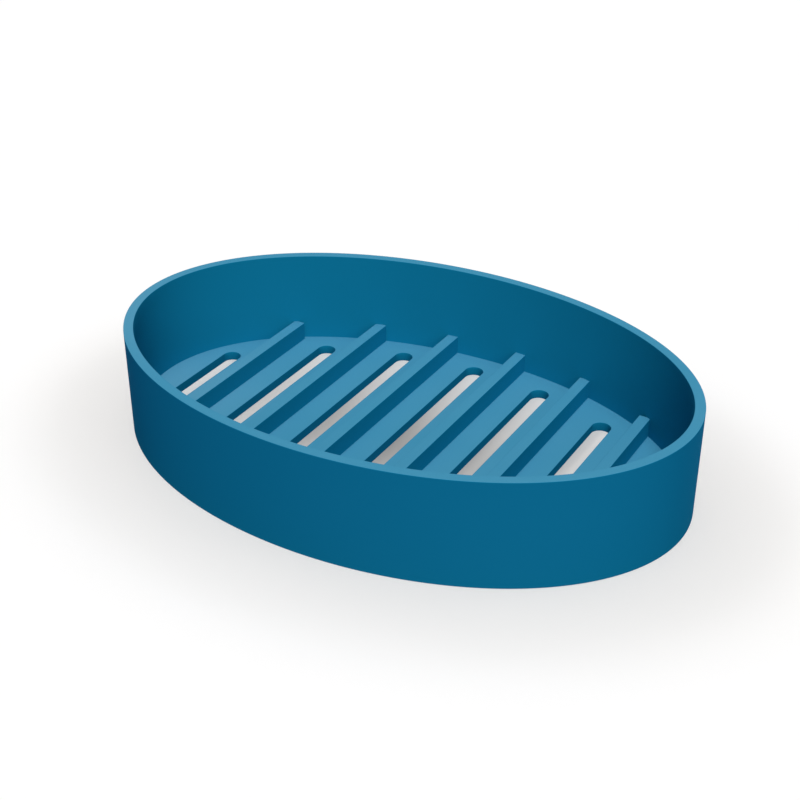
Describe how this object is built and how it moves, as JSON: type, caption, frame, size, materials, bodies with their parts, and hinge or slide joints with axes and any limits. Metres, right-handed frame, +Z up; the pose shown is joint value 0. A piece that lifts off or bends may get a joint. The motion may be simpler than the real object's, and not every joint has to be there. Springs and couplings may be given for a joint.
{
  "type": "soap dish",
  "caption": "Low oval soap dish: an upright wall round a flat floor with drain slots, and straight cross ribs that hold the soap clear of the water.",
  "frame": {"origin": "middle of the oval footprint, on the surface that the dish stands on", "axes": "+X along the dish's longer side, +Y across it along the ribs and slots, +Z up"},
  "size_m": [0.12, 0.08, 0.022],
  "materials": {
    "dish_plastic": "matte"
  },
  "bodies": {
    "root": {"oval_wall": "dish_plastic", "drain_floor": "dish_plastic", "rib_1": "dish_plastic", "rib_2": "dish_plastic", "rib_3": "dish_plastic", "rib_4": "dish_plastic", "rib_5": "dish_plastic", "rib_6": "dish_plastic"}
  },
  "joints": []
}
